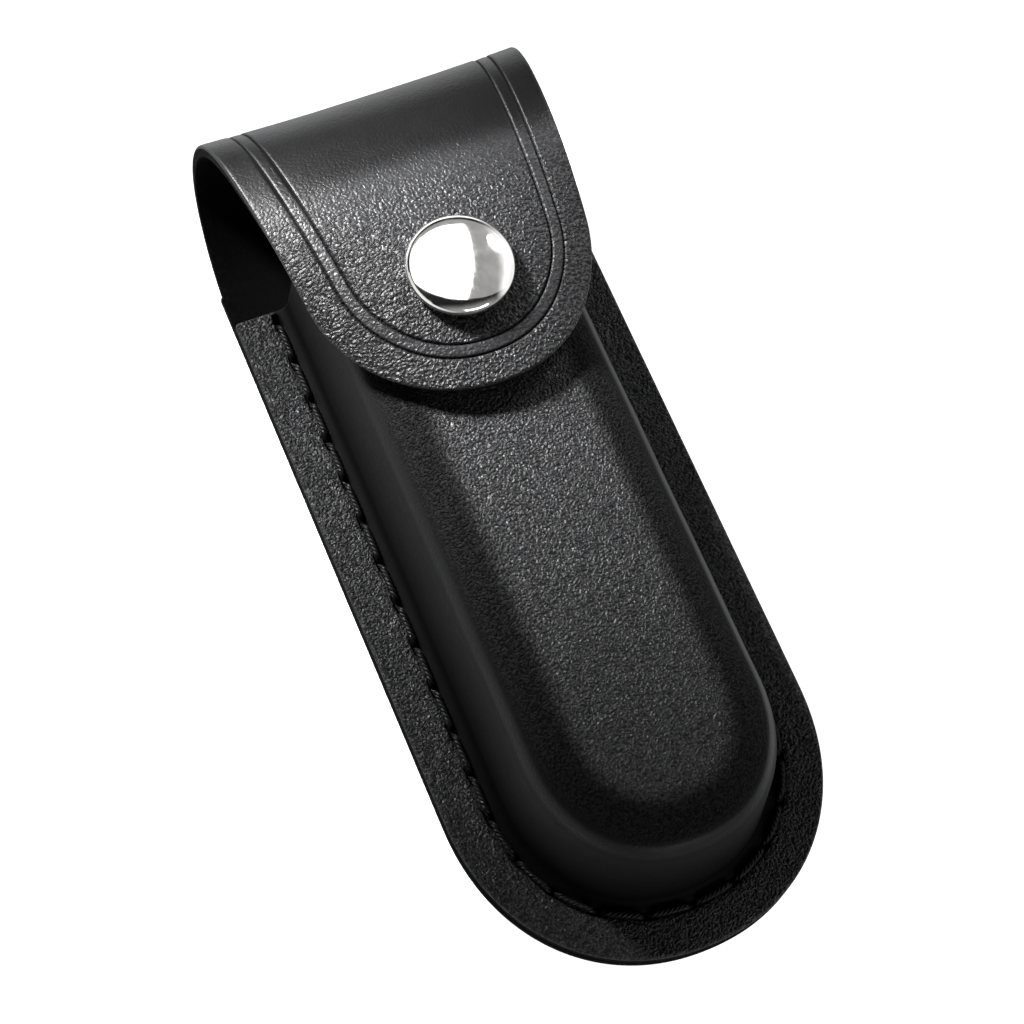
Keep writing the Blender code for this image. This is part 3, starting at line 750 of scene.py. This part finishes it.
def make_pocket():
    rows = pocket_rows()
    stations = outline_stations(MOUTH_Y)
    edge, inward, _ = stations
    inner_steps = 15
    count = len(rows) + inner_steps
    columns = len(edge)
    along = POCKET_SEAM.length + 2 * (MOUTH_Y - SEAM_START_Y)
    line = edge + inward * SEAM_INSET
    mark = np.append(0.0, np.cumsum(np.linalg.norm(np.diff(line, axis=0), axis=1)))
    end_distance = np.minimum(mark, along - mark)
    far = np.tile(end_distance[:, None], (1, count))
    insets = rows[:, 0]
    heights = np.append(rows[:, 1], np.full(inner_steps, BOX_HEIGHT))
    tilts = np.append(rows[:, 2], np.zeros(inner_steps))
    crown = np.concatenate((np.zeros(len(rows)), np.arange(1, inner_steps + 1) / inner_steps))
    rise = heights + BOX_CROWN * (1 - (1 - crown) ** 2)
    outward = np.concatenate((
        -inward[:, None, :] * np.sin(tilts)[None, :, None],
        np.tile(np.cos(tilts)[None, :, None], (columns, 1, 1))), -1)
    pull = MOUTH_CORNER - np.sqrt(np.maximum(
        MOUTH_CORNER ** 2 - np.maximum(MOUTH_CORNER - end_distance, 0.0) ** 2, 0.0))

    def surface(insets):
        """Plan places and points of the grain side, with the mouth's corners rounded."""
        flat = flat_grid(stations, insets, inner_steps)
        share = np.clip(1 - np.append(insets, np.full(inner_steps, 1.0)) / (4 * MM), 0, 1)
        shift = pull[:, None] * share[None, :]
        flat = flat + inward[:, None, :] * shift[..., None]
        return flat, np.concatenate(
            (flat, np.tile((FLANGE_TOP + rise)[None, :, None], (columns, 1, 1))), -1)

    reach = np.append(insets, insets[-1] + MM * np.arange(1, inner_steps + 1))
    flat, base = surface(insets)
    press, shade = seam_press(flat, POCKET_SEAM)
    past_foot = (tilts > 0.3) | (np.arange(count) >= len(rows))
    press[:, past_foot] = 0.0
    shade[:, past_foot] = 0.0
    depth = press + swelling(base) + edge_depth(GRAIN_EDGE, reach[None, :], far)
    outer = base - outward * depth[..., None]
    low = insets.copy()
    low[:EDGE_STEPS + 1] = FLESH_EDGE * EDGE_SHARE
    low_reach = np.append(low, reach[len(low):])
    _, low_base = surface(low)
    low_depth = LEATHER + swelling(low_base) - edge_depth(FLESH_EDGE, low_reach[None, :], far)
    inner = low_base - outward * low_depth[..., None]

    # Stretched smooth up the wall, with the grain coming back over the shoulder.
    reach_up = np.arange(count) >= np.argmax(rows[:, 2] > 0.0)
    shoulder = 0.84 * smoothstep((tilts - math.radians(22)) / math.radians(34))
    flange = smoothstep((reach - 4.9 * MM) / (1.8 * MM))
    smooth = np.tile(np.where(reach_up, shoulder, flange), (columns, 1))
    # The wall's low part is set fully smooth, which also colours it near black as painted shade.
    smooth[:, reach_up & (tilts < WALL_ANGLE) & (heights < 5 * MM)] = 1.0
    rim = np.maximum(np.exp(-reach[None, :] / RIM_WIDTH), np.exp(-far / END_RIM_WIDTH))

    # Painted shade: darkest at the wall's foot and in a dark band over the shoulder.
    foot_shade = smoothstep((reach - 5.6 * MM) / (0.6 * MM)) * (1 - smoothstep(heights / (6 * MM)))
    turn = reach[len(rows) - 1]
    shoulder_shade = (1 - smoothstep((reach - turn + 2.4 * MM) / (4.0 * MM))) * reach_up \
        * (1 - smoothstep((tilts - math.radians(47)) / math.radians(10)))
    shoulder_shade = np.maximum(shoulder_shade, 0.65 * smoothstep((tilts - math.radians(60)) / math.radians(10)))
    shade = np.maximum(shade, np.maximum(0.8 * foot_shade, 0.75 * shoulder_shade)[None, :])
    zone = np.stack((smooth, rim, shade), -1)
    pocket = make_leather("front_pocket_leather",
                          [(outer, inner[:, flesh_rows(count)], zone, base)], True)
    punch(pocket, POST_BASE_Z - 1 * MM, STUD_BASE_Z + 1 * MM)
    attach(pocket, "sheath")
    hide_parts("front_pocket")


# --- The belt loop ---------------------------------------------------------------------

def loop_line():
    """Dense length, Y, Z and turn of the loop's outer face, low end to high end."""
    bend = LOOP_BEND_RADIUS * LOOP_BEND_TURN
    bend_y = 2 * LOOP_BEND_RADIUS * math.sin(LOOP_BEND_TURN)
    flat_run = (LOOP_HIGH_Y - LOOP_LOW_Y) - 2 * LOOP_TAB - 2 * bend_y
    runs = ((LOOP_TAB, 0.0), (bend, -LOOP_BEND_TURN), (bend, LOOP_BEND_TURN), (flat_run, 0.0),
            (bend, LOOP_BEND_TURN), (bend, -LOOP_BEND_TURN), (LOOP_TAB, 0.0))
    length, y, z, turn = [0.0], [LOOP_LOW_Y], [LOOP_TAB_Z], [0.0]
    for run, change in runs:
        steps = 200
        for _ in range(steps):
            ds, half = run / steps, change / steps / 2
            turn.append(turn[-1] + 2 * half)
            y.append(y[-1] + ds * math.cos(turn[-1] - half))
            z.append(z[-1] + ds * math.sin(turn[-1] - half))
            length.append(length[-1] + ds)
    return np.array((length, y, z, turn))


def loop_seam(end_y, side):
    """Three sides of a box round a tab, open toward the loop's middle."""
    x = LOOP_HALF_WIDTH - LOOP_SEAM_INSET
    outer_y = end_y - side * LOOP_SEAM_INSET
    inner_y = end_y - side * (LOOP_TAB - 0.9 * MM)
    return Seam(np.array(((-x, inner_y), (-x, outer_y), (x, outer_y), (x, inner_y))),
                LOOP_SEAM_PITCH)


UPPER_SEAM = loop_seam(LOOP_HIGH_Y, 1)
LOWER_SEAM = loop_seam(LOOP_LOW_Y, -1)


def make_belt_loop():
    line = loop_line()
    total = line[0, -1]
    tab = np.arange(0.95, 10.4, 0.24) * MM
    middle_part = np.arange(10.8 * MM, total - 10.8 * MM, 0.8 * MM)
    lengths = np.concatenate((END_STEPS, tab, middle_part,
                              total - tab[::-1], total - END_STEPS[::-1]))
    insets = np.concatenate((GRAIN_EDGE * EDGE_SHARE, np.arange(0.8, 5.0, 0.2) * MM))
    inner_steps = 38

    def place(flat, depth):
        y, z, turn = (np.interp(flat[..., 1], line[0], line[k]) for k in (1, 2, 3))
        return np.stack((flat[..., 0], y - depth * np.sin(turn), z + depth * np.cos(turn)), -1)

    def half_grid(side, marks):
        end_distance = np.minimum(marks, total - marks)

        def half_width(values):
            close = np.minimum(values, total - values)
            drop = np.maximum(LOOP_CORNER - close, 0.0)
            return LOOP_HALF_WIDTH - LOOP_CORNER + np.sqrt(LOOP_CORNER ** 2 - drop ** 2)

        stations = leg(side, marks, half_width)
        flat = flat_grid(stations, insets, inner_steps)
        rows = flat.shape[1]
        far = np.tile(end_distance[:, None], (1, rows))
        reach = np.append(insets, insets[-1] + 0.3 * MM * np.arange(1, inner_steps + 1))
        grain_at = np.concatenate((flat, np.full(flat.shape[:2] + (1,), 30 * MM)), -1)
        plan = place(flat, np.zeros(flat.shape[:2]))[..., :2]
        pressed = [seam_press(plan, seam) for seam in (UPPER_SEAM, LOWER_SEAM)]
        depth = pressed[0][0] + pressed[1][0] + edge_depth(GRAIN_EDGE, reach[None, :], far)
        shade = np.maximum(pressed[0][1], pressed[1][1])
        shared = flesh_rows(rows)
        low = insets.copy()
        low[:EDGE_STEPS + 1] = FLESH_EDGE * EDGE_SHARE
        low_reach = np.append(low, reach[len(low):])
        low_flat = flat_grid(stations, low, inner_steps)
        low_depth = LEATHER - edge_depth(FLESH_EDGE, low_reach[None, :], far)
        rim = np.maximum(np.exp(-reach[None, :] / RIM_WIDTH), np.exp(-far / END_RIM_WIDTH))
        zone = np.stack((np.zeros_like(rim), rim, shade), -1)
        return place(flat, depth), place(low_flat, low_depth)[:, shared], zone, grain_at

    loop = make_leather("belt_loop_leather",
                        [half_grid(-1, lengths), half_grid(1, lengths[::-1])], True)
    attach(loop, "sheath")
    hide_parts("belt_loop")


# --- Thread ------------------------------------------------------------------------------

def make_thread(name, seam, surface_z, outward, node, dive=1.15 * MM):
    """A three-ply thread that lies in its channel and dives into every slit."""
    spacing = 0.2 * MM
    marks = np.linspace(0, seam.length, round(seam.length / spacing) + 1)
    phase = np.abs((marks + seam.pitch / 2) % seam.pitch - seam.pitch / 2)
    rest = 0.12 * MM
    arch = 0.22 * MM * np.sin(np.pi * np.clip((marks % seam.pitch) / seam.pitch, 0, 1))
    drop = (dive + rest) * (1 - smoothstep((phase - 0.15 * MM) / (1.15 * MM)))
    z = surface_z + outward * (rest + arch - drop)
    plan = seam.at(marks)
    kernel = np.ones(5) / 5
    for axis in (0, 1):
        plan[2:-2, axis] = np.convolve(plan[:, axis], kernel, "valid")
    centre = np.column_stack((plan, z))
    tangent = unit(np.gradient(centre, axis=0))
    side = unit(np.cross(tangent, (0, 0, 1.0)))
    up = np.cross(side, tangent)
    plies, ply_radius, ply_offset, twist, sides = 3, 0.25 * MM, 0.215 * MM, 2.1 * MM, 8
    points, faces, place = [], [], []
    for ply in range(plies):
        turn = 2 * math.pi * (marks / twist + ply / plies)
        middle_line = centre + ply_offset * (np.cos(turn)[:, None] * side
                                             + np.sin(turn)[:, None] * up)
        run = unit(np.gradient(middle_line, axis=0))
        across = unit(np.cross(run, (0, 0, 1.0)))
        over = np.cross(across, run)
        base = len(points) * len(marks) * sides
        ring = 2 * math.pi * np.arange(sides) / sides
        tube = middle_line[:, None] + ply_radius * (
            np.cos(ring)[None, :, None] * across[:, None]
            + np.sin(ring)[None, :, None] * over[:, None])
        points.append(tube.reshape(-1, 3))
        index = base + np.arange(len(marks) * sides).reshape(-1, sides)
        after = np.roll(index, -1, axis=1)
        faces += np.stack((index[:-1], after[:-1], after[1:], index[1:]), -1) \
            .reshape(-1, 4).tolist()
        faces += [index[0, ::-1].tolist(), index[-1].tolist()]
        place.append(np.stack((np.tile(marks[:, None] / MM, (1, sides)),
                               np.tile(ring[None] * 0.2, (len(marks), 1)),
                               np.full((len(marks), sides), 3.0 * ply)), -1).reshape(-1, 3))
    mesh = bpy.data.meshes.new(name)
    mesh.from_pydata(np.concatenate(points), [], faces)
    attribute = mesh.attributes.new("grain_at", "FLOAT_VECTOR", "POINT")
    attribute.data.foreach_set("vector", np.concatenate(place).astype(np.float32).ravel())
    mesh.shade_smooth()
    mesh.materials.append(THREAD)
    obj = bpy.data.objects.new(name, mesh)
    bpy.context.scene.collection.objects.link(obj)
    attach(obj, "sheath")
    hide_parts(node)


def make_threads():
    flesh_z = BACK_Z + LEATHER
    make_thread("pocket_seam_thread", POCKET_SEAM, FLANGE_TOP, 1, "pocket_thread")
    make_thread("pocket_seam_bobbin_thread", POCKET_SEAM, BACK_Z, -1, "pocket_bobbin_thread")
    for word, seam in (("upper", UPPER_SEAM), ("lower", LOWER_SEAM)):
        make_thread(f"loop_{word}_seam_thread", seam, LOOP_TAB_Z, -1, f"loop_{word}_thread")
        make_thread(f"loop_{word}_seam_bobbin_thread", seam, flesh_z, 1,
                    f"loop_{word}_bobbin_thread", dive=0.5 * MM)


# --- Snap fastener -------------------------------------------------------------------------

def make_turned(name, corners, closed, node, body, material):
    """Turn a profile of (radius, z, rounding) in millimetres about the snap's axis."""
    profile = []
    count = len(corners)
    for i, (radius, z, rounding) in enumerate(corners):
        here = np.array((radius, z))
        if rounding == 0:
            profile.append(here)
            continue
        before = np.array(corners[i - 1][:2]) - here
        after = np.array(corners[(i + 1) % count][:2]) - here
        start = here + unit(before) * rounding
        end = here + unit(after) * rounding
        for t in np.linspace(0, 1, 5):
            profile.append((1 - t) ** 2 * start + 2 * t * (1 - t) * here + t ** 2 * end)
    sides = 96
    rings = np.array(profile) * MM
    angle = 2 * math.pi * np.arange(sides) / sides
    points = np.stack((rings[:, :1] * np.cos(angle), SNAP_Y + rings[:, :1] * np.sin(angle),
                       np.tile(rings[:, 1:], (1, sides))), -1).reshape(-1, 3)
    index = np.arange(len(points)).reshape(-1, sides)
    if closed:
        index = np.concatenate((index, index[:1]))
    after = np.roll(index, -1, axis=1)
    faces = np.stack((index[:-1], index[1:], after[1:], after[:-1]), -1).reshape(-1, 4)
    mesh = bpy.data.meshes.new(name)
    mesh.from_pydata(points, [], faces.tolist())
    bm = bmesh.new()
    bm.from_mesh(mesh)
    bmesh.ops.remove_doubles(bm, verts=bm.verts, dist=MERGE_DISTANCE)
    bmesh.ops.recalc_face_normals(bm, faces=bm.faces)
    bm.to_mesh(mesh)
    bm.free()
    mesh.shade_smooth()
    mesh.set_sharp_from_angle(angle=math.radians(50))
    mesh.materials.append(material)
    obj = bpy.data.objects.new(name, mesh)
    bpy.context.scene.collection.objects.link(obj)
    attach(obj, body)
    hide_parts(node)


def make_snap():
    cap_z = CAP_BASE_Z / MM
    dome = [(CAP_RADIUS / MM * math.sin(a) ** 0.96, cap_z + 0.5 + 2.6 * math.cos(a) ** 0.86, 0)
            for a in np.linspace(0, math.pi / 2, 34)]
    low = SOCKET_HIGH_Z / MM - 0.25
    make_turned("snap_cap_nickel", dome + [
        (7.48, cap_z + 0.25, 0), (7.36, cap_z + 0.08, 0), (7.2, cap_z, 0), (6.6, cap_z, 0),
        (6.4, cap_z + 0.25, 0), (1.5, cap_z + 0.25, 0), (1.5, low, 0.15), (0, low, 0)],
        False, "snap_cap", "flap", NICKEL)
    high, base = SOCKET_HIGH_Z / MM, SOCKET_LOW_Z / MM
    make_turned("snap_socket_nickel", [
        (1.9, high, 0.1), (5.8, high, 0.25), (5.2, base, 0.25), (3.05, base, 0.1),
        (3.05, base + 0.3, 0.05), (4.3, base + 0.3, 0), (4.3, high - 0.55, 0),
        (3.05, high - 0.55, 0.05), (3.05, high - 0.3, 0), (1.9, high - 0.3, 0.05)],
        True, "snap_socket", "flap", NICKEL)
    centre = (base + high) / 2 - 0.125
    make_turned("snap_spring_brass", [
        (3.5 + 0.25 * math.cos(a), centre + 0.25 * math.sin(a), 0)
        for a in -2 * math.pi * np.arange(16) / 16],
        True, "snap_spring", "flap", BRASS)
    stud = STUD_BASE_Z / MM
    make_turned("snap_stud_nickel", [
        (1.65, stud + 2.0, 0.1), (2.2, stud + 2.0, 0.15), (2.7, stud + 1.6, 0.12),
        (2.7, stud + 1.3, 0.12), (2.2, stud + 1.0, 0.1), (2.2, stud + 0.5, 0.1),
        (4.9, stud + 0.5, 0.2), (5.0, stud, 0.08), (1.65, stud, 0.1)],
        True, "snap_stud", "sheath", NICKEL)
    post = POST_BASE_Z / MM
    make_turned("snap_post_nickel", [
        (0, stud + 1.7, 0), (1.3, stud + 1.7, 0.3), (1.3, post + 0.5, 0.05),
        (4.6, post + 0.5, 0.15), (4.3, post, 0.2), (0, post, 0)],
        False, "snap_post", "sheath", NICKEL)


# --- Studio ----------------------------------------------------------------------------------

def add_light(name, light, location, target, power):
    light.energy = power
    obj = bpy.data.objects.new(name, light)
    obj.location = location
    obj.visible_camera = False
    obj.rotation_euler = (Vector(target) - Vector(location)).to_track_quat("-Z", "Y").to_euler()
    bpy.context.scene.collection.objects.link(obj)
    return obj


def add_area_light(name, location, target, size, power):
    light = bpy.data.lights.new(name, "AREA")
    light.shape = "RECTANGLE"
    light.size, light.size_y = size
    return add_light(name, light, location, target, power)


def add_spot_light(name, location, target, angle, radius, power):
    """A spot whose edge fades over its whole angle, in degrees."""
    light = bpy.data.lights.new(name, "SPOT")
    light.spot_size = math.radians(angle)
    light.spot_blend = 1.0
    light.shadow_soft_size = radius
    return add_light(name, light, location, target, power)


def make_floor():
    bm = bmesh.new()
    bmesh.ops.create_circle(bm, cap_ends=True, segments=96, radius=3.0)
    mesh = bpy.data.meshes.new("floor")
    bm.to_mesh(mesh)
    bm.free()
    floor = bpy.data.objects.new("floor", mesh)
    floor.location.z = -0.05 * MM
    floor.visible_glossy = False
    bpy.context.scene.collection.objects.link(floor)
    material, _, shader = new_material("floor_white")
    shader.inputs["Base Color"].default_value = (0.9, 0.9, 0.9, 1)
    shader.inputs["Roughness"].default_value = 0.9
    shader.inputs["Specular IOR Level"].default_value = 0.1
    shader.inputs["Emission Color"].default_value = (1, 1, 1, 1)
    shader.inputs["Emission Strength"].default_value = 0.9
    mesh.materials.append(material)


def make_world():
    """A dim room with a bright wall to the right and a bright table below the horizon."""
    world = bpy.data.worlds.new("studio")
    world.use_nodes = True
    bpy.context.scene.world = world
    tree = world.node_tree
    background = tree.nodes["Background"]
    direction = add_node(tree, "ShaderNodeTexCoord").outputs["Generated"]
    x, y, z = add_node(tree, "ShaderNodeSeparateXYZ", {0: direction}).outputs
    walls = math_node(tree, "MAXIMUM", fade(tree, x, 0.6, 0.9, 0.02, 1.3),
                      fade(tree, y, -0.95, -0.5, 0.4, 0.02))
    sides = math_node(tree, "MAXIMUM", fade(tree, x, -0.9, -0.3, 1.2, 0.45),
                      fade(tree, y, 0.6, 0.95, 0.3, 2.2))
    table = math_node(tree, "MULTIPLY", fade(tree, z, -0.04, 0.02, 1.0, 0.0), sides)
    tree.links.new(math_node(tree, "MAXIMUM", walls, table), background.inputs["Strength"])
    background.inputs["Color"].default_value = (0.98, 0.99, 1.0, 1)


def make_lights():
    add_spot_light("key_spot", (-0.101, 0.206, 0.194), (0.004, 0.022, 0.028), 20.5, 0.03, 27.0)
    add_spot_light("fill_spot", (0.20, 0.16, 0.20), (0.016, 0.034, 0.03), 22, 0.03, 1.6)
    add_area_light("softbox_left", (-0.45, 0.05, 0.08), (0, 0, 0.03), (0.5, 0.06), 0.12)
    add_area_light("softbox_front", (0.06, -0.42, 0.14), (0, -0.05, 0.02), (0.3, 0.08), 0.7)

    # Two cards overhead, turned with the sheath's view, that light only the nickel.
    metal = bpy.data.collections.new("metal")
    for name in ("snap_cap_nickel", "snap_stud_nickel", "snap_socket_nickel"):
        metal.objects.link(bpy.data.objects[name])
    for name, x, y, z, size, power in (
            ("white_card", -0.347, 0.472, 0.4, (1.14, 0.83), 6.0),
            ("grey_card", 0.321, 0.723, 0.42, (2.6, 1.8), 6.2)):
        card = add_area_light(name, (x, y, z), (x, y, 0), size, power)
        card.rotation_euler.z = math.radians(-23)
        card.light_linking.receiver_collection = metal


def make_camera():
    data = bpy.data.cameras.new("camera")
    data.sensor_width = 36.0
    data.lens = 92.54
    data.clip_start = 0.01
    camera = bpy.data.objects.new("camera", data)
    camera.location = (-0.08506, -0.11430, 0.35177)
    camera.rotation_euler = Euler([math.radians(a) for a in (22.16, -5.429, -22.988)], "XYZ")
    bpy.context.scene.collection.objects.link(camera)
    bpy.context.scene.camera = camera


make_back_panel()
make_fold()
make_flap()
make_pocket()
make_belt_loop()
make_threads()
make_snap()
make_floor()
make_world()
make_lights()
make_camera()

bpy.context.scene.view_settings.view_transform = "Standard"
bpy.context.view_layer.update()
